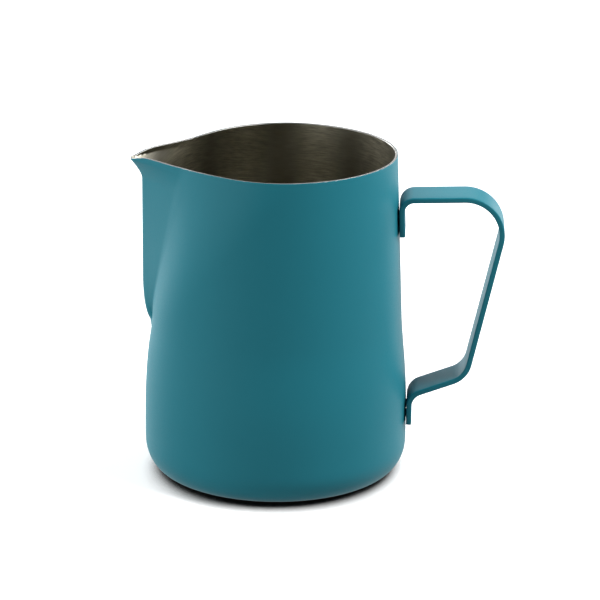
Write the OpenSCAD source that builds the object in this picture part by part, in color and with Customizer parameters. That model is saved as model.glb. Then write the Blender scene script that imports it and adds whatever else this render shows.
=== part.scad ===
// Milk frothing pitcher: a one-piece drawn steel cup with a pressed pouring spout,
// a bent strip handle spot-welded to its side, and a coloured powder coat outside.
// Z is up, the base rests on Z = 0, the spout points along -X and the handle along +X.

/* [Body] */
// Radius of the belly, outside the coat
belly_r = 45.1; // [43:0.1:46]
// Radius of the rim on the handle side
rim_r = 40.75; // [39.5:0.05:41.5]
// Height of the rim above the table
body_h = 111.25; // [110:0.05:112]
// Height of the rounded heel
heel_h = 10; // [8:0.5:12]
// How far the heel turns in before it meets the table
heel_in = 7; // [5:0.5:9]
// Height where the belly starts to draw in
taper_low = 20; // [16:1:24]
// Height where the wall has become a plain cone
taper_high = 54; // [50:1:60]
// Lean of the cone that rises from there to the rim
taper_angle = 2.3; // [1.8:0.1:2.6]
// Thickness of the drawn sheet
sheet_t = 0.8; // [0.6:0.1:1]
// Thickness of the powder coat
coat_t = 0.1; // [0.08:0.01:0.15]

/* [Spout] */
// Distance from the axis to the straight part of the spout's ridge
ridge_r = 45.85; // [45:0.05:47]
// Distance from the axis to the pouring tip
tip_r = 50; // [48.5:0.1:51]
// Radius of the ridge, seen from above
nose_r = 3.2; // [2.5:0.1:4]
// Angle from the spout's direction to the crease behind each flank, at the rim
crease_angle = 36; // [34:0.5:38]
// Height where the ridge leaves the wall
foot_z = 51; // [48:1:54]
// Height where the ridge reaches its full depth
ridge_z = 66; // [62:1:70]
// Height where the ridge starts to flare out to the tip
flare_z = 101.5; // [100:0.5:103]
// How far the pouring tip sits below the rim
tip_drop = 3.1; // [2:0.1:3.5]
// How far the rim beside the spout sits below the rim
side_drop = 1.1; // [0.5:0.1:1.5]
// How far the wall beside the spout is pressed in at the rim
pinch_depth = 4.4; // [3.5:0.1:5]
// Depth of the soft hollow under the spout's foot
dent_depth = 0.5; // [0.2:0.1:0.8]

/* [Handle] */
// Width of the strip, outside the coat
strip_w = 15.2; // [12:0.1:16]
// Thickness of the strip, outside the coat
strip_t = 1.85; // [1.6:0.05:2.2]
// Gap between the coated wall and the coated tabs
tab_gap = 0.1; // [0.05:0.05:0.2]
// Height of the upper tab's free end
upper_tab_z = 84.1; // [83:0.1:86]
// Height of the lower tab's free end
lower_tab_z = 17; // [16:0.1:18]
// Height of the upper arm where it leaves the tab
upper_arm_z = 96.9; // [96:0.1:98]
// Reach of the upper outer corner
grip_reach = 79.65; // [78:0.05:81]
// Height of the upper outer corner
grip_top_z = 98.1; // [97.5:0.1:98.5]
// Reach of the lower outer corner
heel_reach = 65.3; // [63:0.1:66]
// Height of the lower outer corner
heel_corner_z = 34.6; // [34:0.1:36]
// Height where the lower arm meets its tab
lower_arm_z = 27.4; // [27:0.1:28.5]
// Bend radii at the strip's middle, from the upper tab round to the lower one
upper_tab_bend = 4.2; // [3:0.1:4.5]
// Bend at the upper outer corner
grip_bend = 12.5; // [10:0.1:13]
// Bend at the lower outer corner
heel_bend = 8.7; // [8:0.1:9.5]
// Bend at the lower tab
lower_tab_bend = 5.4; // [5:0.1:5.6]

/* [Welds] */
// Radius of each spot weld
weld_r = 1.5; // [1.2:0.1:1.8]
// Distance between the two spot welds of a tab
weld_pitch = 3.6; // [3.4:0.1:4]
// How deep a weld has fused into the sheet
weld_bite = 0.3; // [0.2:0.05:0.4]

/* [Hidden] */
$fn = 64;
// columns of points round the cup, and how evenly they are spread
columns = 96;
nose_density = 0.4;
// rows of points up the heel, up to the spout's foot, along its swell, its ridge and its flare
heel_rows = 5;
lower_rows = 5;
swell_rows = 5;
ridge_rows = 4;
flare_rows = 5;
// steps in angle and height that measure the skin's slope
step_a = 0.5;
step_v = 0.004;
// the coat starts a little way up the heel and stops this far below the rim
coat_low_v = 0.12;
bare_edge = 0.1;
// below this height every row of points is level
level_z = 98;
tip_z = body_h - tip_drop;
// degrees between the points of a bend
bend_step = 5;
// distance from a tab's free end to the middle of its nearer weld, in weld radii
upper_weld_margin = 1.5;
lower_weld_margin = 1.2;

// small curves
function clamp01(t) = min(1, max(0, t));
function ease(t) = let (u = clamp01(t)) u * u * (3 - 2 * u);
function mix(a, b, t) = a + (b - a) * t;
function steps(low, high, count) = [for (i = [0:count - 1]) mix(low, high, i / count)];
function flip(list) = [for (i = [len(list) - 1:-1:0]) list[i]];
// the larger of two radii, blended over a width k where they meet
function blend_max(a, b, k) = max(a, b) + pow(max(k - abs(a - b), 0), 2) / (4 * k);

// the round wall
function heel_wall(z) = belly_r - heel_in * (1 - sqrt(max(0, 1 - pow(1 - z / heel_h, 2))));
function cone_wall(z) = rim_r + (body_h - z) * tan(taper_angle);
function upper_wall(z) = mix(belly_r, cone_wall(z), ease((z - taper_low) / (taper_high - taper_low)));
function round_wall(z) = z < heel_h ? heel_wall(z) : upper_wall(z);

// the wall beside the spout; a is the angle from the spout's direction
function climb(z) = clamp01((z - foot_z) / (body_h - foot_z));
// the pressed-in zone is narrow at the spout's foot and reaches round to the sides at the rim
pinch_inner = [4, 42];
pinch_outer = [36, 104];
pinch_spread = 1.2;
pinch_shape = 2;
function pinch(a, z) =
    let (t = climb(z),
         near = mix(pinch_inner[0], pinch_inner[1], t),
         far = mix(pinch_outer[0], pinch_outer[1], pow(t, pinch_spread)))
    pinch_depth * t * pow(sin(90 * clamp01((far - abs(a)) / (far - near))), pinch_shape);
// height and angle over which the hollow under the foot fades
dent_height = 6;
dent_spread = 25;
function dent(a, z) = dent_depth * exp(-pow((z - foot_z) / dent_height, 2) - pow(a / dent_spread, 2));
function side_wall(a, z) = round_wall(z) - pinch(a, z) - dent(a, z);

// the spout: two flat flanks that meet in a rounded ridge
function foot_reach(z) =
    let (u = clamp01((ridge_z - z) / (ridge_z - foot_z)),
         r = round_wall(foot_z) - dent_depth)
    r + (ridge_r - r) * sqrt(1 - u * u);
// above 1 this bends the flare: the ridge leaves upright and leans out more and more
flare_shape = 1.5;
function ridge(z) = z < ridge_z
    ? foot_reach(z)
    : ridge_r + (tip_r - ridge_r) * pow(clamp01((z - flare_z) / (tip_z - flare_z)), flare_shape);
// the crease where each flank meets the body swings out from the foot to the rim
crease_rise = 0.77;
function crease_at(z) = crease_angle * pow(climb(z), crease_rise);
// the angle of a flat flank that touches the nose and runs back to the crease
function flank_at(centre, crease, crease_r) =
    let (back = [crease_r * cos(crease) - centre, crease_r * sin(crease)])
    atan2(back[1], back[0]) - acos(nose_r / max(norm(back), nose_r));
function nose(a, centre) = centre * cos(a) + sqrt(max(0, nose_r * nose_r - pow(centre * sin(a), 2)));
function flank(a, centre, lean) = (centre * cos(lean) + nose_r) / cos(a - lean);
// past the crease the flank dips straight under the body
function dip(a, lean, edge) = 1 + tan(edge - lean) * (a - edge) * PI / 180;
function spout(a, z) =
    let (centre = ridge(z) - nose_r,
         crease = crease_at(z),
         lean = flank_at(centre, crease, side_wall(crease, z)),
         turn = atan2(nose_r * sin(lean), centre + nose_r * cos(lean)),
         edge = max(crease, turn))
    a < turn ? nose(a, centre)
    : a < edge ? flank(a, centre, lean)
    : flank(edge, centre, lean) * dip(a, lean, edge);
// the flanks count only this far round, and a narrow fold joins them to the body
spout_span = 60;
fold_low = 0.4;
fold_high = 0.5;
function wall(a, z) =
    z < foot_z || abs(a) > spout_span
    ? side_wall(a, z)
    : blend_max(side_wall(a, z), spout(abs(a), z), mix(fold_low, fold_high, climb(z)));

// the skin: v runs 0 to 1 up the heel and 1 to 2 up the wall
// the rim sinks between these angles, and once more close to the tip
side_span = [68, 20];
tip_span = 6;
function rim_z(a) = body_h
    - side_drop * ease((side_span[0] - abs(a)) / (side_span[0] - side_span[1]))
    - (tip_drop - side_drop) * exp(-pow(a / tip_span, 2));
function plain_z(v) = v < 1 ? heel_h * (1 - cos(90 * v)) : mix(heel_h, body_h, v - 1);
function skin_z(a, v) = let (z = plain_z(v))
    z < level_z ? z : mix(level_z, rim_z(a), (z - level_z) / (body_h - level_z));
function skin(a, v) =
    let (z = skin_z(a, v),
         r = wall(a, z))
    [-r * cos(a), r * sin(a), z];
function skin_normal(a, v) =
    let (low = max(v - step_v, 0),
         high = min(v + step_v, 2),
         n = cross(skin(a, high) - skin(a, low), skin(a + step_a, v) - skin(a - step_a, v)))
    n / norm(n);
// depth is counted inwards from the steel, which lies under the coat except at the bare base
function coat_at(v) = coat_t * clamp01(v / coat_low_v);
function inset_point(a, v, depth) = skin(a, v) - (coat_at(v) + depth) * skin_normal(a, v);
// columns stand close together at the spout and far apart at the handle
function column_angle(i) = let (u = 2 * i / columns - 1) 180 * mix(pow(u, 3), u, nose_density);
function ring(v, depth) = [for (i = [0:columns - 1]) inset_point(column_angle(i), v, depth)];
function v_at(z) = 1 + (z - heel_h) / (body_h - heel_h);
wall_rows = [for (z = concat(steps(heel_h, foot_z, lower_rows),
                             steps(foot_z, ridge_z, swell_rows),
                             steps(ridge_z, flare_z, ridge_rows),
                             steps(flare_z, body_h, flare_rows))) v_at(z)];
heel_v = [for (i = [0:heel_rows - 1]) i / heel_rows];
shell_rows = concat(heel_v, wall_rows, [2]);
coat_rows = concat([coat_low_v],
                   [for (v = shell_rows) if (v > coat_low_v && v < 2) v],
                   [v_at(body_h - bare_edge)]);

// a closed sheet between two depths; a cup is capped at the base and inside, a sleeve is open
module sheet(rows, outer, inner, capped) {
    rings = concat([for (v = rows) ring(v, outer)], [for (v = flip(rows)) ring(v, inner)]);
    last = len(rings) - 1;
    walls = [for (k = [0:capped ? last - 1 : last], i = [0:columns - 1])
        let (n = (i + 1) % columns,
             up = (k + 1) % len(rings),
             p = k * columns + i,
             q = k * columns + n,
             r = up * columns + n,
             s = up * columns + i)
        each [[p, s, q], [q, s, r]]];
    floor_face = [for (i = [0:columns - 1]) i];
    inside_face = [for (i = [columns - 1:-1:0]) last * columns + i];
    polyhedron(points = [for (loop = rings) each loop],
               faces = capped ? concat(walls, [floor_face, inside_face]) : walls);
}

// the handle's route: corner points and bend radii in the XZ plane
// the upper tab leans with the cone behind it and the lower tab stands upright on the belly
upper_tab_x = round_wall(upper_tab_z) + (tab_gap + strip_t / 2) / cos(taper_angle);
upper_arm_x = upper_tab_x - (upper_arm_z - upper_tab_z) * tan(taper_angle);
lower_tab_x = belly_r + tab_gap + strip_t / 2;
route = [[upper_tab_x, upper_tab_z], [upper_arm_x, upper_arm_z],
         [grip_reach, grip_top_z], [heel_reach, heel_corner_z],
         [lower_tab_x, lower_arm_z], [lower_tab_x, lower_tab_z]];
bends = [0, upper_tab_bend, grip_bend, heel_bend, lower_tab_bend, 0];
function leg(i) = route[i + 1] - route[i];
function leg_angle(i) = atan2(leg(i)[1], leg(i)[0]);
function turn(i) =
    let (d = leg_angle(i) - leg_angle(i - 1))
    d > 180 ? d - 360 : d < -180 ? d + 360 : d;
function tangent(i) = bends[i] == 0 ? 0 : bends[i] * tan(abs(turn(i)) / 2);

// the left-hand normal of a direction
function normal_at(angle) = [-sin(angle), cos(angle)];
function bend_centre(i) = let (side = sign(turn(i)))
    route[i] - tangent(i) * [cos(leg_angle(i - 1)), sin(leg_angle(i - 1))]
    + side * bends[i] * normal_at(leg_angle(i - 1));
// points round one bend, a distance to the left of the strip's middle
function bend_points(i, offset) =
    let (side = sign(turn(i)),
         count = ceil(abs(turn(i)) / bend_step))
    [for (k = [0:count])
        let (angle = leg_angle(i - 1) + turn(i) * k / count)
        bend_centre(i) - (side * bends[i] - offset) * normal_at(angle)];
// one side of the strip's outline, with each free end drawn in by an inset
function end_point(i, leg_i, inset, offset) =
    route[i] + inset * leg(leg_i) / norm(leg(leg_i)) + offset * normal_at(leg_angle(leg_i));
function outline(offset, inset) =
    let (last = len(route) - 1)
    concat([end_point(0, 0, inset, offset)],
           [for (i = [1:last - 1]) each bend_points(i, offset)],
           [end_point(last, last - 1, -inset, offset)]);

module strip(inset) {
    half = strip_t / 2 - inset;
    rotate([90, 0, 0])
        linear_extrude(strip_w - 2 * inset, center = true)
            polygon(concat(outline(half, inset), flip(outline(-half, inset))));
}

// spot welds, square to the wall under a tab that leans with it
upper_weld_z = upper_tab_z + upper_weld_margin * weld_r + weld_pitch / 2;
lower_weld_z = lower_tab_z + lower_weld_margin * weld_r + weld_pitch / 2;
module welds(middle_z, face_r, lean, grow) {
    bite = coat_t + weld_bite;
    translate([face_r, 0, middle_z])
        rotate([0, 90 - lean, 0])
            for (side = [-1, 1])
                translate([side * weld_pitch / 2, 0, -bite - grow])
                    cylinder(r = weld_r, h = bite + tab_gap + coat_t + 2 * grow);
}

module upper_welds(grow) {
    welds(upper_weld_z, round_wall(upper_weld_z), taper_angle, grow);
}

module lower_welds(grow) {
    welds(lower_weld_z, belly_r, 0, grow);
}

// sub-parts
module pitcher_shell() {
    color("silver")
        sheet(shell_rows, 0, sheet_t, true);
}

module body_coat() {
    color("teal")
        difference() {
            sheet(coat_rows, -coat_t, 0, false);
            upper_welds(coat_t);
            lower_welds(coat_t);
        }
}

module handle_strip() {
    color("silver")
        strip(coat_t);
}

module handle_coat() {
    color("teal")
        difference() {
            strip(0);
            strip(coat_t);
            upper_welds(coat_t / 2);
            lower_welds(coat_t / 2);
        }
}

module upper_handle_welds() {
    color("dimgray")
        upper_welds(0);
}

module lower_handle_welds() {
    color("dimgray")
        lower_welds(0);
}

pitcher_shell();
body_coat();
handle_strip();
handle_coat();
upper_handle_welds();
lower_handle_welds();
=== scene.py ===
import math
import bpy
import numpy as np
from mathutils import Matrix, Vector


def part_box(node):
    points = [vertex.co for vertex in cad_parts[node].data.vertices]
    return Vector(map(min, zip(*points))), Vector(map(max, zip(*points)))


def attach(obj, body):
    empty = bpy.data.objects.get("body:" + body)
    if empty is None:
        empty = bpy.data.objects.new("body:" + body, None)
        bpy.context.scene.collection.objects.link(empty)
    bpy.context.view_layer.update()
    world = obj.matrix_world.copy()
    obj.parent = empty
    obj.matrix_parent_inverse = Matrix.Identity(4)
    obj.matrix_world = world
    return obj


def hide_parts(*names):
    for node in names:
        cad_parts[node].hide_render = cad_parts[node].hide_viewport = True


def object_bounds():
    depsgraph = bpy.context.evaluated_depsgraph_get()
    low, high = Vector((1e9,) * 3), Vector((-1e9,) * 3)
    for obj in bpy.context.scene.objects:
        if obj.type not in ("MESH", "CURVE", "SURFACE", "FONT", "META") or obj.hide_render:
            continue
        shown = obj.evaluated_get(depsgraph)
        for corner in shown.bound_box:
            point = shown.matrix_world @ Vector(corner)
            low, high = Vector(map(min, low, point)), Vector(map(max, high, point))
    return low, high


mm = 0.001

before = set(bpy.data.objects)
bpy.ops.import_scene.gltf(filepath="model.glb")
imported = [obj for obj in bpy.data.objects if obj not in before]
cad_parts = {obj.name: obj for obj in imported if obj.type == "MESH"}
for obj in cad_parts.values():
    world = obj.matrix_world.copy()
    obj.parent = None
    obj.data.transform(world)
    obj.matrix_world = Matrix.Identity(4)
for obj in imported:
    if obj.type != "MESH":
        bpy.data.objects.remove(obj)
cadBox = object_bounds()
print("frame loaded")

# the camera stands in front of the cup, a little above it, and looks down at the body
cameraView = {
    "place": (50.4, -962.0, 368.8),   # mm, in the part's own frame
    "heading": 2.518,                 # degrees, turned towards the spout
    "pitchDown": 17.84,
    "roll": 0.457,
    "lens": 177.16,
    "sensor": 36.0,
    "clipNear": 0.05,                 # m
    "clipFar": 50.0,
}


def makeCamera(view):
    data = bpy.data.cameras.new("studioCamera")
    data.sensor_fit = "HORIZONTAL"
    data.sensor_width = view["sensor"]
    data.lens = view["lens"]
    data.clip_start = view["clipNear"]
    data.clip_end = view["clipFar"]
    camera = bpy.data.objects.new("studioCamera", data)
    bpy.context.scene.collection.objects.link(camera)
    turn = (Matrix.Rotation(math.radians(view["heading"]), 4, "Z")
            @ Matrix.Rotation(math.radians(90 - view["pitchDown"]), 4, "X")
            @ Matrix.Rotation(math.radians(view["roll"]), 4, "Z"))
    camera.matrix_world = Matrix.Translation(Vector(view["place"]) * mm) @ turn
    bpy.context.scene.camera = camera


makeCamera(cameraView)
print("camera placed")


# small helpers for curves: all angles in degrees and lengths in mm

def clamp01(t):
    return np.clip(t, 0.0, 1.0)


def ease(t):
    u = clamp01(t)
    return u * u * (3 - 2 * u)


def mix(a, b, t):
    return a + (b - a) * t


def cosDeg(a):
    return np.cos(np.radians(a))


def sinDeg(a):
    return np.sin(np.radians(a))


def blendMax(a, b, width):
    return np.maximum(a, b) + np.maximum(width - np.abs(a - b), 0) ** 2 / (4 * width)


# the drawn cup: a round body that narrows to the rim, with a spout pressed into one side
cup = {
    "bellyRadius": 45.1,
    "rimRadius": 40.75,
    "heelHeight": 10.0,               # the rounded corner at the base
    "heelInset": 7.0,                 # how far that corner draws in
    "taperLow": 20.0,                 # the wall starts to narrow here
    "taperHigh": 54.0,                # and is a plain cone from here up
    "taperAngle": 2.3,
    "sheet": 0.8,                     # how thick the steel is
    "coat": 0.1,
    "ridgeRadius": 45.85,             # the spout's ridge, where it runs straight up
    "tipRadius": 50.0,
    "noseRadius": 3.2,                # how round the ridge is
    "creaseAngle": 36.0,              # half of the spout's width at the rim
    "creaseRise": 0.77,
    "footHeight": 51.0,               # the spout starts here
    "ridgeHeight": 66.0,
    "flareHeight": 101.5,             # and bends out to the tip from here
    "flareShape": 1.5,
    "tipDrop": 3.1,                   # the rim is this much lower at the tip
    "sideDrop": 1.1,                  # and this much lower along the flanks
    "pinchDepth": 4.4,                # how far the wall is pressed in beside the spout
    "pinchInner": (4.0, 42.0),
    "pinchOuter": (36.0, 104.0),
    "pinchSpread": 1.2,
    "pinchShape": 2.0,
    "dentDepth": 0.5,                 # the small hollow under the spout's foot
    "dentHeight": 6.0,
    "dentSpread": 25.0,
    "spoutSpan": 60.0,
    "foldLow": 0.4,                   # how soft the creases are, at the foot
    "foldHigh": 0.5,                  # and at the rim
    "levelHeight": 98.0,              # below this height every row of the mesh is level
    "sideSpan": (68.0, 20.0),
    "tipSpan": 6.0,
    "bareEdge": 0.1,                  # the coat stops this far below the rim
    "lipFillet": 0.25,
    "coatStart": 0.12,
    "coatEdgeRise": 0.0005,           # the coat's top edge is rounded over this much of a row
    "coatEdgeShare": 0.6,
    "steelUnder": 0.08,               # keeps the sheet's coarser outside clear of the coat
}
cup["height"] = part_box("pitcher_shell")[1].z / mm


def roundWall(z):
    heel = cup["bellyRadius"] - cup["heelInset"] * (
        1 - np.sqrt(np.maximum(0, 1 - (1 - z / cup["heelHeight"]) ** 2)))
    cone = cup["rimRadius"] + (cup["height"] - z) * math.tan(math.radians(cup["taperAngle"]))
    share = ease((z - cup["taperLow"]) / (cup["taperHigh"] - cup["taperLow"]))
    return np.where(z < cup["heelHeight"], heel, mix(cup["bellyRadius"], cone, share))


def climb(z):
    return clamp01((z - cup["footHeight"]) / (cup["height"] - cup["footHeight"]))


def sideWall(a, z):
    t = climb(z)
    near = mix(cup["pinchInner"][0], cup["pinchInner"][1], t)
    far = mix(cup["pinchOuter"][0], cup["pinchOuter"][1], t ** cup["pinchSpread"])
    hollow = sinDeg(90 * clamp01((far - np.abs(a)) / (far - near))) ** cup["pinchShape"]
    dent = np.exp(-((z - cup["footHeight"]) / cup["dentHeight"]) ** 2 - (a / cup["dentSpread"]) ** 2)
    return roundWall(z) - cup["pinchDepth"] * t * hollow - cup["dentDepth"] * dent


# how far the spout's ridge reaches: it swells out of the wall, runs straight, then flares to the tip
def ridgeReach(z):
    u = clamp01((cup["ridgeHeight"] - z) / (cup["ridgeHeight"] - cup["footHeight"]))
    start = roundWall(np.array(cup["footHeight"])) - cup["dentDepth"]
    swell = start + (cup["ridgeRadius"] - start) * np.sqrt(1 - u * u)
    tipHeight = cup["height"] - cup["tipDrop"]
    flare = clamp01((z - cup["flareHeight"]) / (tipHeight - cup["flareHeight"])) ** cup["flareShape"]
    return np.where(z < cup["ridgeHeight"], swell, mix(cup["ridgeRadius"], cup["tipRadius"], flare))


# the crease where each flank meets the body swings out from the foot to the rim
def creaseAt(z):
    return cup["creaseAngle"] * climb(z) ** cup["creaseRise"]


# each flank is flat: it touches the rounded nose and runs back to the crease
def spoutWall(a, z):
    nose = cup["noseRadius"]
    centre = ridgeReach(z) - nose
    crease = creaseAt(z)
    creaseRadius = sideWall(crease, z)
    backX = creaseRadius * cosDeg(crease) - centre
    backY = creaseRadius * sinDeg(crease)
    reach = np.maximum(np.hypot(backX, backY), nose)
    flank = np.degrees(np.arctan2(backY, backX) - np.arccos(nose / reach))
    turn = np.degrees(np.arctan2(nose * sinDeg(flank), centre + nose * cosDeg(flank)))
    end = np.maximum(crease, turn)
    plane = (centre * cosDeg(flank) + nose) / cosDeg(np.minimum(a, end) - flank)
    past = 1 + np.tan(np.radians(end - flank)) * np.radians(np.maximum(a - end, 0))
    front = centre * cosDeg(a) + np.sqrt(np.maximum(0, nose ** 2 - (centre * sinDeg(a)) ** 2))
    return np.where(a < turn, front, plane * past)


def outerWall(a, z):
    plain = sideWall(a, z)
    fold = mix(cup["foldLow"], cup["foldHigh"], climb(z))
    pressed = blendMax(plain, spoutWall(np.minimum(np.abs(a), cup["spoutSpan"]), z), fold)
    return np.where((z < cup["footHeight"]) | (np.abs(a) > cup["spoutSpan"]), plain, pressed)


def rimHeight(a):
    low, high = cup["sideSpan"][1], cup["sideSpan"][0]
    return (cup["height"] - cup["sideDrop"] * ease((high - np.abs(a)) / (high - low))
            - (cup["tipDrop"] - cup["sideDrop"]) * np.exp(-(a / cup["tipSpan"]) ** 2))


# v runs from 0 to 1 up the heel and from 1 to 2 up the wall
def skinHeight(a, v):
    heel = cup["heelHeight"] * (1 - cosDeg(90 * v))
    z = np.where(v < 1, heel, mix(cup["heelHeight"], cup["height"], v - 1))
    share = (z - cup["levelHeight"]) / (cup["height"] - cup["levelHeight"])
    lifted = mix(cup["levelHeight"], rimHeight(a), share)
    return np.where(z < cup["levelHeight"], z, lifted)


def rowAt(z):
    return 1 + (z - cup["heelHeight"]) / (cup["height"] - cup["heelHeight"])


def skin(a, v):
    z = skinHeight(a, v)
    r = outerWall(a, z)
    return np.stack([-r * cosDeg(a), r * sinDeg(a), z], -1)


def unit(vectors):
    return vectors / np.maximum(np.linalg.norm(vectors, axis=-1, keepdims=True), 1e-9)


# how far to each side the skin is felt for its slope: degrees round the cup, rows up it
probe = {"turn": 0.25, "rise": 0.002}


def skinNormal(a, v):
    above = skin(a, np.minimum(v + probe["rise"], 2))
    below = skin(a, np.maximum(v - probe["rise"], 0))
    around = skin(a + probe["turn"], v) - skin(a - probe["turn"], v)
    return unit(np.cross(above - below, around))


# a point under the skin by some depth, raised along the wall by some lift
def layerPoint(a, v, depth, lift=0.0):
    coatHere = (cup["coat"] * clamp01(v / cup["coatStart"]))[..., None]
    point = skin(a, v) - (coatHere + depth) * skinNormal(a, v)
    if lift:
        point = point + lift * unit(skin(a, v) - skin(a, v - probe["rise"]))
    return point


def linkMesh(name, points, faces, materials, slots=None):
    mesh = bpy.data.meshes.new(name)
    mesh.from_pydata([tuple(p) for p in points * mm], [], faces)
    for material in materials:
        mesh.materials.append(material)
    if slots is not None:
        mesh.polygons.foreach_set("material_index", np.array(slots, dtype=np.int32))
    mesh.polygons.foreach_set("use_smooth", np.ones(len(mesh.polygons), dtype=bool))
    mesh.validate()
    mesh.update()
    piece = bpy.data.objects.new(name, mesh)
    bpy.context.scene.collection.objects.link(piece)
    return piece


# quads between closed loops of equal length; wrap joins the last loop to the first
def bandFaces(loopCount, width, wrap=False):
    faces = []
    for k in range(loopCount if wrap else loopCount - 1):
        low = k * width
        high = (k + 1) % loopCount * width
        for i in range(width):
            n = (i + 1) % width
            faces.append((low + i, low + n, high + n, high + i))
    return faces


# columns stand close together across the spout and wider apart round the rest
columnPlan = {
    "spoutSpan": 56.0,
    "spoutStep": 0.32,
    "restStep": 2.0,
    "lastGap": 1.0,                   # the least room left before the first column comes round again
    "slack": 0.01,                    # lets the last spout column fall on the span itself
}


def columnAngles():
    span = columnPlan["spoutSpan"]
    step = columnPlan["restStep"]
    near = np.arange(-span, span + columnPlan["slack"], columnPlan["spoutStep"])
    rest = np.arange(span + step, 360 - span - columnPlan["lastGap"], step)
    turns = np.concatenate([near, rest])
    return np.where(turns > 180, turns - 360, turns)


# rows are closest at the spout's foot and at the rim, where the wall curves most
rowPlan = {
    "heelRows": 15,
    "stretches": ((50.0, 25), (68.0, 33), (99.0, 33)),   # up to this height, with so many rows
    "rimRows": 25,
    "apart": 1e-4,
    "steelEvery": 3,                  # the sheet's outside lies under the coat and needs fewer rows
    "coatEvery": 4,                   # so does the coat's inside
    "lipTurns": (22, 39, 56, 73, 90),
    "discSteps": 8,
}


def fineRows(low, high):
    heights = []
    start = cup["heelHeight"]
    for end, count in rowPlan["stretches"]:
        heights.append(np.linspace(start, end, count, endpoint=False))
        start = end
    heights.append(np.linspace(start, cup["height"], rowPlan["rimRows"] + 1))
    heel = np.linspace(0, 1, rowPlan["heelRows"], endpoint=False)
    rows = np.concatenate([heel, rowAt(np.concatenate(heights))])
    inside = rows[(rows > low + rowPlan["apart"]) & (rows < high - rowPlan["apart"])]
    return np.concatenate([[low], inside, [high]])


def ringShares(fromShare, toShare):
    return np.linspace(fromShare, toShare, rowPlan["discSteps"] + 1)[1:-1]


angles = columnAngles()


def loopAt(v, depth, lift=0.0):
    return layerPoint(angles, np.full_like(angles, v), depth, lift)


lipRow = 2 - cup["lipFillet"] / (cup["height"] - cup["heelHeight"])


def cupSteelMesh(steel, lipSteel):
    width = len(angles)
    fillet = cup["lipFillet"]
    rows = fineRows(0, lipRow)
    loops = []
    for v in rows[:-1:rowPlan["steelEvery"]]:
        loops.append(loopAt(v, cup["steelUnder"] * clamp01(v / cup["coatStart"])))
    loops.append(loopAt(lipRow, 0.0))
    lipStart = len(loops)
    for turn in rowPlan["lipTurns"]:
        loops.append(loopAt(lipRow, fillet * (1 - cosDeg(turn)), fillet * sinDeg(turn)))
    for turn in rowPlan["lipTurns"][::-1]:
        loops.append(loopAt(lipRow, cup["sheet"] - fillet * (1 - cosDeg(turn)), fillet * sinDeg(turn)))
    lipEnd = len(loops)
    for v in rows[::-1]:
        loops.append(loopAt(v, cup["sheet"]))
    inner = loops[-1]
    for share in ringShares(1, 0):
        loops.append(inner * np.array([share, share, 1]))
    # the underside starts from its own middle, so the sheet closes on both discs
    outer = loops[0]
    base = [outer * np.array([share, share, 1]) for share in ringShares(0, 1)]
    allLoops = base + loops
    points = np.concatenate(allLoops)
    faces = [face[::-1] for face in bandFaces(len(allLoops), width)]
    slots = np.zeros(len(faces), dtype=np.int32)
    first = (len(base) + lipStart - 1) * width
    last = (len(base) + lipEnd) * width
    slots[first:last] = 1
    bottom, top = len(points), len(points) + 1
    points = np.concatenate([points, [[0, 0, outer[0][2]], [0, 0, inner[0][2]]]])
    lastLoop = (len(allLoops) - 1) * width
    faces += [(bottom, i, (i + 1) % width) for i in range(width)]
    faces += [(top, lastLoop + (i + 1) % width, lastLoop + i) for i in range(width)]
    slots = list(slots) + [0] * (2 * width)
    return linkMesh("cupSteel", points, faces, [steel, lipSteel], slots)


def cupCoatMesh(coat):
    width = len(angles)
    top = rowAt(cup["height"] - cup["bareEdge"])
    rows = fineRows(cup["coatStart"], top)
    loops = [loopAt(v, -cup["coat"]) for v in rows]
    loops.append(loopAt(top + cup["coatEdgeRise"], -cup["coat"] * cup["coatEdgeShare"]))
    loops += [loopAt(v, 0.0) for v in rows[::-rowPlan["coatEvery"]]]
    loops.append(loopAt(cup["coatStart"], 0.0))
    points = np.concatenate(loops)
    faces = [face[::-1] for face in bandFaces(len(loops), width, wrap=True)]
    return linkMesh("cupCoat", points, faces, [coat])


# the handle: one flat strip, bent four times, with a square-cut tab at each end
handle = {
    "width": 15.2,
    "thickness": 1.85,
    "edgeRadius": 0.45,
    "endRadius": 0.25,
    "coat": 0.1,
    "tabGap": 0.1,                    # the welds fill this gap behind each tab
    "upperTab": 84.1,
    "upperArm": 96.9,
    "gripReach": 79.65,               # from the cup's axis to the middle of the strip
    "gripTop": 98.1,
    "heelReach": 65.3,
    "heelCorner": 34.6,
    "lowerArm": 27.4,
    "lowerTab": 17.0,
    "bends": (4.2, 12.5, 8.7, 5.4),   # from the upper tab down to the lower one
    "bendStep": 2.5,                  # degrees from one station of a bend to the next
    "longest": 3.0,                   # straight legs get a station at least this often
    "cornerSteps": 6,
    "edgeSteps": 3,
    "flatSteps": 8,
    "endTurns": (90, 60, 30),
    "leastRadius": 0.05,
    "steelUnder": 0.01,               # keeps the strip clear of its coat
}


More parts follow.
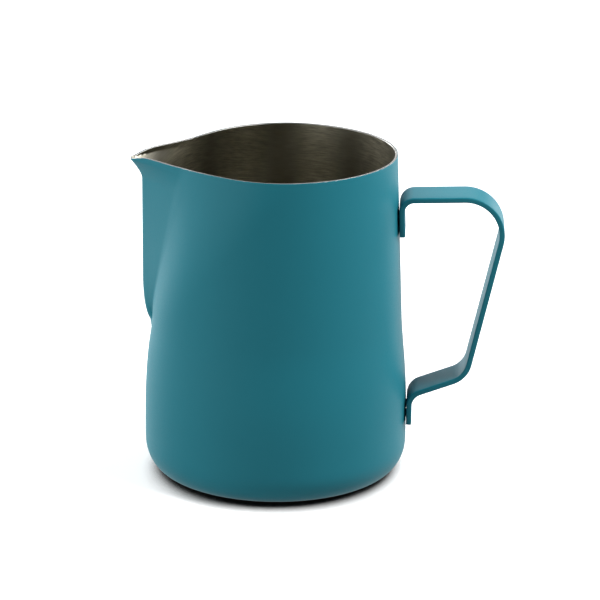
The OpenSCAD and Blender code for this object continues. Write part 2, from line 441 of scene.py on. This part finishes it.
def handleRoute():
    lean = math.radians(cup["taperAngle"])
    standOff = handle["tabGap"] + handle["thickness"] / 2
    upperX = float(roundWall(np.array(handle["upperTab"]))) + standOff / math.cos(lean)
    leanX = upperX - (handle["upperArm"] - handle["upperTab"]) * math.tan(lean)
    lowerX = cup["bellyRadius"] + standOff
    corners = np.array([
        (upperX, handle["upperTab"]), (leanX, handle["upperArm"]),
        (handle["gripReach"], handle["gripTop"]), (handle["heelReach"], handle["heelCorner"]),
        (lowerX, handle["lowerArm"]), (lowerX, handle["lowerTab"])])
    legs = np.diff(corners, axis=0)
    headings = np.degrees(np.arctan2(legs[:, 1], legs[:, 0]))
    stations = [(corners[0], headings[0])]
    for k, radius in enumerate(handle["bends"]):
        turn = (headings[k + 1] - headings[k] + 180) % 360 - 180
        side = np.sign(turn)
        reach = radius * math.tan(math.radians(abs(turn) / 2))
        back = np.array([cosDeg(headings[k]), sinDeg(headings[k])])
        left = np.array([-back[1], back[0]])
        centre = corners[k + 1] - reach * back + side * radius * left
        count = int(math.ceil(abs(turn) / handle["bendStep"]))
        for step in range(count + 1):
            angle = headings[k] + turn * step / count
            stations.append((centre - side * radius * np.array([-sinDeg(angle), cosDeg(angle)]), angle))
    stations.append((corners[-1], headings[-1]))
    return stations


# long straight legs get extra stations, so the mesh stays even
def evenStations(stations):
    filled = [stations[0]]
    for point, angle in stations[1:]:
        lastPoint, lastAngle = filled[-1]
        gap = np.linalg.norm(point - lastPoint)
        count = int(gap // handle["longest"])
        wraps = abs(angle - lastAngle) > 90
        for step in range(1, count + 1):
            share = step / (count + 1)
            between = angle if wraps else mix(lastAngle, angle, share)
            filled.append((mix(lastPoint, point, share), between))
        filled.append((point, angle))
    return filled


# one loop round the strip: a rounded rectangle of half thickness and half width
def stripSection(halfThickness, halfWidth, radius):
    loop = []
    flatX = halfThickness - radius
    flatY = halfWidth - radius
    for cornerX, cornerY, startAngle in ((1, 1, 0), (-1, 1, 90), (-1, -1, 180), (1, -1, 270)):
        for step in range(handle["cornerSteps"] + 1):
            angle = startAngle + 90 * step / handle["cornerSteps"]
            x = cornerX * flatX + radius * cosDeg(angle)
            y = cornerY * flatY + radius * sinDeg(angle)
            loop.append((x, y))
        if cornerX == cornerY:
            for step in range(1, handle["edgeSteps"]):
                x = mix(cornerX * flatX, -cornerX * flatX, step / handle["edgeSteps"])
                loop.append((x, cornerY * halfWidth))
        else:
            for step in range(1, handle["flatSteps"]):
                y = mix(cornerY * flatY, -cornerY * flatY, step / handle["flatSteps"])
                loop.append((cornerX * halfThickness, y))
    return np.array(loop)


def stripShell(inset):
    stations = evenStations(handleRoute())
    halfT = handle["thickness"] / 2 - inset
    halfW = handle["width"] / 2 - inset
    radius = handle["edgeRadius"] - inset
    endRadius = handle["endRadius"]
    loops = []

    def addLoop(point, angle, shrink, push):
        section = stripSection(halfT - shrink, halfW - shrink, max(radius - shrink, handle["leastRadius"]))
        forward = np.array([cosDeg(angle), sinDeg(angle)])
        left = np.array([-forward[1], forward[0]])
        middle = point + push * forward
        flat = middle + section[:, :1] * left
        loops.append(np.stack([flat[:, 0], section[:, 1], flat[:, 1]], -1))

    first, last = stations[0], stations[-1]
    for turn in handle["endTurns"]:
        addLoop(first[0], first[1], endRadius * (1 - cosDeg(turn)), inset + endRadius * (1 - sinDeg(turn)))
    addLoop(first[0], first[1], 0, inset + endRadius)
    for point, angle in stations[1:-1]:
        addLoop(point, angle, 0, 0)
    addLoop(last[0], last[1], 0, -inset - endRadius)
    for turn in handle["endTurns"][::-1]:
        addLoop(last[0], last[1], endRadius * (1 - cosDeg(turn)), -inset - endRadius * (1 - sinDeg(turn)))
    width = len(loops[0])
    points = np.concatenate(loops)
    faces = bandFaces(len(loops), width)
    points = np.concatenate([points, [loops[0].mean(0), loops[-1].mean(0)]])
    firstMiddle, lastMiddle = len(points) - 2, len(points) - 1
    lastLoop = (len(loops) - 1) * width
    faces += [(firstMiddle, (i + 1) % width, i) for i in range(width)]
    faces += [(lastMiddle, lastLoop + i, lastLoop + (i + 1) % width) for i in range(width)]
    return points, faces


def handleSteelMesh(steel):
    points, faces = stripShell(handle["coat"] + handle["steelUnder"])
    return linkMesh("handleSteel", points, faces, [steel])


# the coat is a thin closed skin: its outside and the inside that lies on the strip
def handleCoatMesh(coat):
    outerPoints, outerFaces = stripShell(0.0)
    innerPoints, innerFaces = stripShell(handle["coat"])
    points = np.concatenate([outerPoints, innerPoints])
    faces = outerFaces + [tuple(len(outerPoints) + i for i in face[::-1]) for face in innerFaces]
    return linkMesh("handleCoat", points, faces, [coat])


def addNode(tree, kind, **settings):
    node = tree.nodes.new(kind)
    for key, value in settings.items():
        setattr(node, key, value)
    return node


def newGroup(name, inputs, outputs):
    group = bpy.data.node_groups.new(name, "ShaderNodeTree")
    for label, kind, default in inputs:
        socket = group.interface.new_socket(name=label, in_out="INPUT", socket_type=kind)
        if default is not None:
            socket.default_value = default
    for label, kind in outputs:
        group.interface.new_socket(name=label, in_out="OUTPUT", socket_type=kind)
    return group, group.nodes.new("NodeGroupInput"), group.nodes.new("NodeGroupOutput")


def mathNode(tree, operation, first, second=None, clamp=False):
    node = addNode(tree, "ShaderNodeMath", operation=operation, use_clamp=clamp)
    for index, value in enumerate((first, second)):
        if value is None:
            continue
        if isinstance(value, (int, float)):
            node.inputs[index].default_value = value
        else:
            tree.links.new(value, node.inputs[index])
    return node.outputs[0]


def rampBetween(tree, factor, low, high, fromLow=0.0, fromHigh=1.0):
    ramp = addNode(tree, "ShaderNodeMapRange")
    ramp.inputs["From Min"].default_value = fromLow
    ramp.inputs["From Max"].default_value = fromHigh
    ramp.inputs["To Min"].default_value = low
    ramp.inputs["To Max"].default_value = high
    tree.links.new(factor, ramp.inputs["Value"])
    return ramp.outputs["Result"]


# fine baked-powder skin: a tiny stipple, a longer orange-peel swell and slow cloudiness
def powderSkinGroup():
    group, start, end = newGroup("powderSkin", [
        ("Vector", "NodeSocketVector", None),
        ("Stipple Scale", "NodeSocketFloat", 3200.0),
        ("Swell Scale", "NodeSocketFloat", 420.0),
        ("Cloud Scale", "NodeSocketFloat", 24.0),
        ("Stipple Share", "NodeSocketFloat", 0.5),
    ], [
        ("Height", "NodeSocketFloat"),
        ("Stipple", "NodeSocketFloat"),
        ("Cloud", "NodeSocketFloat"),
    ])
    links = group.links
    noises = []
    for label, detail in (("Stipple Scale", 3.0), ("Swell Scale", 2.0), ("Cloud Scale", 3.0)):
        noise = addNode(group, "ShaderNodeTexNoise")
        noise.inputs["Detail"].default_value = detail
        links.new(start.outputs["Vector"], noise.inputs["Vector"])
        links.new(start.outputs[label], noise.inputs["Scale"])
        noises.append(noise)
    grain = mathNode(group, "MULTIPLY", noises[0].outputs["Fac"], start.outputs["Stipple Share"])
    rest = mathNode(group, "SUBTRACT", 1.0, start.outputs["Stipple Share"])
    swell = mathNode(group, "MULTIPLY", noises[1].outputs["Fac"], rest)
    height = mathNode(group, "ADD", grain, swell)
    links.new(height, end.inputs["Height"])
    links.new(noises[0].outputs["Fac"], end.inputs["Stipple"])
    links.new(noises[2].outputs["Fac"], end.inputs["Cloud"])
    return group


grainAndReflectionShape = {
    "axisGuard": 0.0005,              # m, stops the division at the cup's axis
    "fadeRadii": (0.031, 0.041),      # m, the painted reflection bands come up between these radii
    "fadeShares": (0.12, 0.5),
    "lineDetail": 4.0,
    "lineRoughness": 0.65,
    "driftScale": 1.6,                # how unevenly the painted reflection bands are spaced
    "driftDetail": 3.0,
}


# brushed lines that run round the cup, and painted reflection bands up the wall: the grain varies fast up
# the wall and slowly round it
def grainAndPaintedReflectionsGroup():
    group, start, end = newGroup("grainAndPaintedReflections", [
        ("Vector", "NodeSocketVector", None),
        ("Line Scale", "NodeSocketFloat", 2600.0),
        ("Sweep Scale", "NodeSocketFloat", 9.0),
        ("Reflection Streak Count", "NodeSocketFloat", 9.0),
        ("Reflection Streak Phase", "NodeSocketFloat", 0.0),
        ("Reflection Streak Warp", "NodeSocketFloat", 2.0),
    ], [
        ("Height", "NodeSocketFloat"),
        ("Lines", "NodeSocketFloat"),
        ("Painted Reflection Streaks", "NodeSocketFloat"),
    ])
    links = group.links
    split = addNode(group, "ShaderNodeSeparateXYZ")
    links.new(start.outputs["Vector"], split.inputs[0])
    squareX = mathNode(group, "MULTIPLY", split.outputs["X"], split.outputs["X"])
    squareY = mathNode(group, "MULTIPLY", split.outputs["Y"], split.outputs["Y"])
    radius = mathNode(group, "SQRT", mathNode(group, "ADD", squareX, squareY))
    # the grain crosses the wall on its way up and the base on its way out
    travel = mathNode(group, "ADD", split.outputs["Z"], radius)
    across = mathNode(group, "MULTIPLY", travel, start.outputs["Line Scale"])
    safeRadius = mathNode(group, "MAXIMUM", radius, grainAndReflectionShape["axisGuard"])
    roundX = mathNode(group, "DIVIDE", split.outputs["X"], safeRadius)
    roundY = mathNode(group, "DIVIDE", split.outputs["Y"], safeRadius)
    sweepX = mathNode(group, "MULTIPLY", roundX, start.outputs["Sweep Scale"])
    sweepY = mathNode(group, "MULTIPLY", roundY, start.outputs["Sweep Scale"])
    grainVector = addNode(group, "ShaderNodeCombineXYZ")
    links.new(sweepX, grainVector.inputs[0])
    links.new(sweepY, grainVector.inputs[1])
    links.new(across, grainVector.inputs[2])
    fine = addNode(group, "ShaderNodeTexNoise")
    fine.inputs["Scale"].default_value = 1.0
    fine.inputs["Detail"].default_value = grainAndReflectionShape["lineDetail"]
    fine.inputs["Roughness"].default_value = grainAndReflectionShape["lineRoughness"]
    links.new(grainVector.outputs[0], fine.inputs["Vector"])
    # painted reflection bands, bright and dark, run up the wall, unevenly spaced round the cup
    bandVector = addNode(group, "ShaderNodeCombineXYZ")
    links.new(roundX, bandVector.inputs[0])
    links.new(roundY, bandVector.inputs[1])
    drift = addNode(group, "ShaderNodeTexNoise")
    drift.inputs["Scale"].default_value = grainAndReflectionShape["driftScale"]
    drift.inputs["Detail"].default_value = grainAndReflectionShape["driftDetail"]
    links.new(bandVector.outputs[0], drift.inputs["Vector"])
    turn = mathNode(group, "ARCTAN2", split.outputs["Y"], split.outputs["X"])
    waves = mathNode(group, "MULTIPLY", turn, start.outputs["Reflection Streak Count"])
    shift = mathNode(group, "SUBTRACT", drift.outputs["Fac"], 0.5)
    warp = mathNode(group, "MULTIPLY", shift, start.outputs["Reflection Streak Warp"])
    phase = mathNode(group, "ADD", mathNode(group, "ADD", waves, start.outputs["Reflection Streak Phase"]), warp)
    # the painted reflection bands belong to the wall and fade out over the rounded corner of the base
    fade = rampBetween(group, radius, *grainAndReflectionShape["fadeShares"], *grainAndReflectionShape["fadeRadii"])
    faded = mathNode(group, "MULTIPLY", mathNode(group, "COSINE", phase), fade)
    reflectionStreaks = mathNode(group, "ADD", faded, 0.5)
    links.new(fine.outputs["Fac"], end.inputs["Height"])
    links.new(fine.outputs["Fac"], end.inputs["Lines"])
    links.new(reflectionStreaks, end.inputs["Painted Reflection Streaks"])
    return group


# tiny rubs near a height, such as a foot
def wearGroup():
    group, start, end = newGroup("edgeWear", [
        ("Vector", "NodeSocketVector", None),
        ("Level", "NodeSocketFloat", 0.0),
        ("Reach", "NodeSocketFloat", 0.002),
        ("Patch Scale", "NodeSocketFloat", 300.0),
    ], [("Mask", "NodeSocketFloat")])
    links = group.links
    split = addNode(group, "ShaderNodeSeparateXYZ")
    links.new(start.outputs["Vector"], split.inputs[0])
    above = mathNode(group, "SUBTRACT", split.outputs["Z"], start.outputs["Level"])
    away = mathNode(group, "DIVIDE", mathNode(group, "ABSOLUTE", above), start.outputs["Reach"])
    near = mathNode(group, "SUBTRACT", 1.0, away, clamp=True)
    patches = addNode(group, "ShaderNodeTexNoise")
    patches.inputs["Detail"].default_value = 4.0
    links.new(start.outputs["Vector"], patches.inputs["Vector"])
    links.new(start.outputs["Patch Scale"], patches.inputs["Scale"])
    mask = mathNode(group, "MULTIPLY", near, patches.outputs["Fac"], clamp=True)
    links.new(mask, end.inputs["Mask"])
    return group


powderSkin = powderSkinGroup()
grainAndPaintedReflections = grainAndPaintedReflectionsGroup()
edgeWear = wearGroup()


def newMaterial(name):
    material = bpy.data.materials.new(name)
    material.use_nodes = True
    tree = material.node_tree
    tree.nodes.clear()
    shader = tree.nodes.new("ShaderNodeBsdfPrincipled")
    output = tree.nodes.new("ShaderNodeOutputMaterial")
    tree.links.new(shader.outputs[0], output.inputs[0])
    coordinates = tree.nodes.new("ShaderNodeTexCoord")
    return material, tree, shader, coordinates.outputs["Object"]


def placeGroup(tree, group, vector, values):
    node = addNode(tree, "ShaderNodeGroup", node_tree=group)
    tree.links.new(vector, node.inputs["Vector"])
    for key, value in values.items():
        node.inputs[key].default_value = value
    return node


# a Mix node keeps its two colours in sockets 6 and 7 and gives the blend in output 2
def colourBetween(tree, factor, low, high):
    blend = addNode(tree, "ShaderNodeMix", data_type="RGBA")
    for index, colour in ((6, low), (7, high)):
        if isinstance(colour, tuple):
            blend.inputs[index].default_value = (*colour, 1)
        else:
            tree.links.new(colour, blend.inputs[index])
    tree.links.new(factor, blend.inputs[0])
    return blend.outputs[2]


# most of a noise texture's values lie in these spans
noiseSpan = (0.3, 0.7)
lineSpan = (0.35, 0.65)

tealFinish = {
    "colourLow": (0.0135, 0.172, 0.222),
    "colourHigh": (0.0155, 0.188, 0.242),
    "roughLow": 0.46,
    "roughHigh": 0.56,
    "specular": 0.15,
    "scuffColour": (0.022, 0.16, 0.20),
    "scuffReach": 0.0025,             # the foot is rubbed up to this height
    "scuffShare": 0.35,
    "bump": 0.10,
    "bumpDistance": 0.00006,
}


def tealPowder(name, stippleScale):
    material, tree, shader, place = newMaterial(name)
    skinNode = placeGroup(tree, powderSkin, place, {"Stipple Scale": stippleScale})
    wear = placeGroup(tree, edgeWear, place, {"Level": 0.0, "Reach": tealFinish["scuffReach"]})
    rubbed = mathNode(tree, "MULTIPLY", wear.outputs["Mask"], tealFinish["scuffShare"])
    cloud = skinNode.outputs["Cloud"]
    clean = colourBetween(tree, cloud, tealFinish["colourLow"], tealFinish["colourHigh"])
    colour = colourBetween(tree, rubbed, clean, tealFinish["scuffColour"])
    tree.links.new(colour, shader.inputs["Base Color"])
    stipple = skinNode.outputs["Stipple"]
    rough = rampBetween(tree, stipple, tealFinish["roughLow"], tealFinish["roughHigh"], *noiseSpan)
    tree.links.new(rough, shader.inputs["Roughness"])
    shader.inputs["Specular IOR Level"].default_value = tealFinish["specular"]
    bump = addNode(tree, "ShaderNodeBump")
    bump.inputs["Strength"].default_value = tealFinish["bump"]
    bump.inputs["Distance"].default_value = tealFinish["bumpDistance"]
    tree.links.new(skinNode.outputs["Height"], bump.inputs["Height"])
    tree.links.new(bump.outputs["Normal"], shader.inputs["Normal"])
    return material


steelFinish = {
    "colourLow": (0.22, 0.21, 0.17),
    "colourHigh": (0.80, 0.77, 0.64),
    "lineDark": 0.45,                 # how much of its brightness a dark line keeps
    "reflectionStreakDepth": 0.85,                # 0 leaves the sheet even, 1 makes the dark painted reflection bands darkest
    "reflectionStreakPhase": 77.0,                # degrees, turns the painted reflection bands round the cup
    "scuffReach": 0.003,              # the foot is rubbed up to this height
    "scuffRough": 0.2,
    "roughLow": 0.36,
    "roughHigh": 0.50,
    "anisotropy": 0.7,
    "bump": 0.25,
    "bumpDistance": 0.00004,
}


def brushedSteel(name, finish):
    material, tree, shader, place = newMaterial(name)
    # the steel's colour is its brushed grain lines times painted reflection bands
    grain = placeGroup(tree, grainAndPaintedReflections, place, {"Reflection Streak Phase": math.radians(finish["reflectionStreakPhase"])})
    lines = rampBetween(tree, grain.outputs["Lines"], finish["lineDark"], 1.0, *lineSpan)
    reflectionStreaks = rampBetween(tree, grain.outputs["Painted Reflection Streaks"], 1 - finish["reflectionStreakDepth"], 1.0)
    tone = mathNode(tree, "MULTIPLY", lines, reflectionStreaks, clamp=True)
    wear = placeGroup(tree, edgeWear, place, {"Level": 0.0, "Reach": finish["scuffReach"]})
    colour = colourBetween(tree, tone, finish["colourLow"], finish["colourHigh"])
    tree.links.new(colour, shader.inputs["Base Color"])
    rough = rampBetween(tree, grain.outputs["Lines"], finish["roughLow"], finish["roughHigh"], *noiseSpan)
    scuff = mathNode(tree, "MULTIPLY", wear.outputs["Mask"], finish["scuffRough"])
    tree.links.new(mathNode(tree, "ADD", rough, scuff), shader.inputs["Roughness"])
    shader.inputs["Metallic"].default_value = 1.0
    shader.inputs["Anisotropic"].default_value = finish["anisotropy"]
    tangent = addNode(tree, "ShaderNodeTangent", direction_type="RADIAL", axis="Z")
    tree.links.new(tangent.outputs[0], shader.inputs["Tangent"])
    bump = addNode(tree, "ShaderNodeBump")
    bump.inputs["Strength"].default_value = finish["bump"]
    bump.inputs["Distance"].default_value = finish["bumpDistance"]
    tree.links.new(grain.outputs["Height"], bump.inputs["Height"])
    tree.links.new(bump.outputs["Normal"], shader.inputs["Normal"])
    return material


# the lip and the welds carry fainter painted reflection bands
lipFinish = {
    "colourLow": (0.20, 0.20, 0.19),
    "colourHigh": (0.34, 0.34, 0.33),
    "lineDark": 0.45,
    "reflectionStreakDepth": 0.3,
    "reflectionStreakPhase": 0.0,
    "scuffReach": 0.003,
    "scuffRough": 0.0,
    "roughLow": 0.30,
    "roughHigh": 0.40,
    "anisotropy": 0.3,
    "bump": 0.06,
    "bumpDistance": 0.00003,
}

weldFinish = {
    "colourLow": (0.20, 0.17, 0.14),
    "colourHigh": (0.42, 0.38, 0.33),
    "lineDark": 0.45,
    "reflectionStreakDepth": 0.3,
    "reflectionStreakPhase": 0.0,
    "scuffReach": 0.003,
    "scuffRough": 0.0,
    "roughLow": 0.35,
    "roughHigh": 0.6,
    "anisotropy": 0.0,
    "bump": 0.4,
    "bumpDistance": 0.00006,
}

tealBody = tealPowder("tealPowderBody", 2600.0)
tealHandle = tealPowder("tealPowderHandle", 2900.0)
cupInside = brushedSteel("brushedCupSteel", steelFinish)
lipSteel = brushedSteel("polishedLipSteel", lipFinish)
stripSteel = brushedSteel("rolledStripSteel", steelFinish)
weldSteel = brushedSteel("weldSteel", weldFinish)
print("materials made")

cupSteel = cupSteelMesh(cupInside, lipSteel)
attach(cupSteel, "root")
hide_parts("pitcher_shell")

cupCoat = cupCoatMesh(tealBody)
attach(cupCoat, "root")
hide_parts("body_coat")
print("cup built")

handleSteel = handleSteelMesh(stripSteel)
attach(handleSteel, "root")
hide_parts("handle_strip")

handleCoat = handleCoatMesh(tealHandle)
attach(handleCoat, "root")
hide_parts("handle_coat")
print("handle built")

for nodeName in ("upper_handle_welds", "lower_handle_welds"):
    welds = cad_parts[nodeName]
    welds.data.materials.clear()
    welds.data.materials.append(weldSteel)
print("welds finished")


# the studio: a pale floor, big soft lights at both sides and behind, little from the front
studio = {
    "floorSize": 12.0,
    "floorSeen": 0.93,
    "floorBounce": 0.3,
    "floorGlow": 0.3,
    "floorShine": 1.0,                # how bright the floor looks in the coat's own reflections
    "floorRough": 0.9,
    "floorSpecular": 0.1,
    "contactShadowReach": 0.016,            # m, how far the painted contact shadow reaches across the floor beside the cup
    "contactShadowTilt": 40.0,              # degrees, leans the painted contact shadow towards the front
    "contactShadowDark": 0.26,              # openness at which the painted contact shadow is black
    "contactShadowClear": 0.60,             # openness at which the floor is clear of the painted shadow
    "floorDrop": 0.00005,             # m, keeps the floor from touching the base
    "worldSeen": 1.0,
    "worldLight": 0.02,
}


def makeFloor():
    half = studio["floorSize"] / 2
    z = cadBox[0].z - studio["floorDrop"]
    mesh = bpy.data.meshes.new("studioFloor")
    corners = [(-half, -half, z), (half, -half, z), (half, half, z), (-half, half, z)]
    mesh.from_pydata(corners, [], [(0, 1, 2, 3)])
    floor = bpy.data.objects.new("studioFloor", mesh)
    bpy.context.scene.collection.objects.link(floor)
    material, tree, shader = newMaterial("paperFloor")[:3]
    path = addNode(tree, "ShaderNodeLightPath")
    openness = addNode(tree, "ShaderNodeAmbientOcclusion")
    openness.inputs["Distance"].default_value = studio["contactShadowReach"]
    tilt = math.radians(studio["contactShadowTilt"])
    lean = addNode(tree, "ShaderNodeCombineXYZ")
    lean.inputs["Y"].default_value = math.sin(tilt)
    lean.inputs["Z"].default_value = math.cos(tilt)
    tree.links.new(lean.outputs[0], openness.inputs["Normal"])
    openShare = openness.outputs["AO"]
    clearance = rampBetween(tree, openShare, 0.0, 1.0, studio["contactShadowDark"], studio["contactShadowClear"])
    # a painted contact shadow: only the view itself shows the dark contact line, so the heel still gets
    # light from the floor
    unseen = mathNode(tree, "SUBTRACT", 1.0, path.outputs["Is Camera Ray"])
    contact = mathNode(tree, "MAXIMUM", clearance, unseen)
    paper = rampBetween(tree, path.outputs["Is Camera Ray"], studio["floorBounce"], studio["floorSeen"])
    tree.links.new(mathNode(tree, "MULTIPLY", paper, contact), shader.inputs["Base Color"])
    shader.inputs["Roughness"].default_value = studio["floorRough"]
    shader.inputs["Specular IOR Level"].default_value = studio["floorSpecular"]
    shader.inputs["Emission Color"].default_value = (1, 1, 1, 1)
    seen = mathNode(tree, "MULTIPLY", path.outputs["Is Camera Ray"], studio["floorGlow"])
    mirrored = mathNode(tree, "MULTIPLY", path.outputs["Is Glossy Ray"], studio["floorShine"])
    glow = mathNode(tree, "MULTIPLY", mathNode(tree, "ADD", seen, mirrored), contact)
    tree.links.new(glow, shader.inputs["Emission Strength"])
    mesh.materials.append(material)


def makeWorld():
    world = bpy.data.worlds.new("studioWorld")
    world.use_nodes = True
    tree = world.node_tree
    tree.nodes.clear()
    background = tree.nodes.new("ShaderNodeBackground")
    output = tree.nodes.new("ShaderNodeOutputWorld")
    path = addNode(tree, "ShaderNodeLightPath")
    background.inputs["Color"].default_value = (1, 1, 1, 1)
    strength = rampBetween(tree, path.outputs["Is Camera Ray"], studio["worldLight"], studio["worldSeen"])
    tree.links.new(strength, background.inputs["Strength"])
    tree.links.new(background.outputs[0], output.inputs[0])
    bpy.context.scene.world = world


# each panel: azimuth from the front (plus is to the right), height angle, power in watts
panels = {
    "leftBehind": (-138, 14, 12.0),
    "leftSide": (-80, 14, 3.4),
    "leftHigh": (-80, 50, 3.8),
    "leftFront": (-45, 14, 2.7),
    "rightBehind": (138, 14, 5.5),
    "rightHigh": (80, 50, 16.5),
    "behind": (180, 14, 1.8),
}
panelSide = 0.5                       # m
panelDistance = 1.1
panelTarget = Vector((0.0, 0.0, 0.06))


def makePanel(name, azimuth, height, power):
    data = bpy.data.lights.new(name, "AREA")
    data.shape = "SQUARE"
    data.size = panelSide
    data.energy = power
    light = bpy.data.objects.new(name, data)
    bpy.context.scene.collection.objects.link(light)
    turn, lift = math.radians(azimuth), math.radians(height)
    direction = Vector((math.sin(turn) * math.cos(lift), -math.cos(turn) * math.cos(lift), math.sin(lift)))
    facing = (-direction).to_track_quat("-Z", "Y").to_matrix().to_4x4()
    light.matrix_world = Matrix.Translation(panelTarget + direction * panelDistance) @ facing
    light.visible_camera = False


makeFloor()
makeWorld()
for panelName, panel in panels.items():
    makePanel(panelName, *panel)
bpy.context.scene.view_settings.view_transform = "Standard"
print("studio lit")
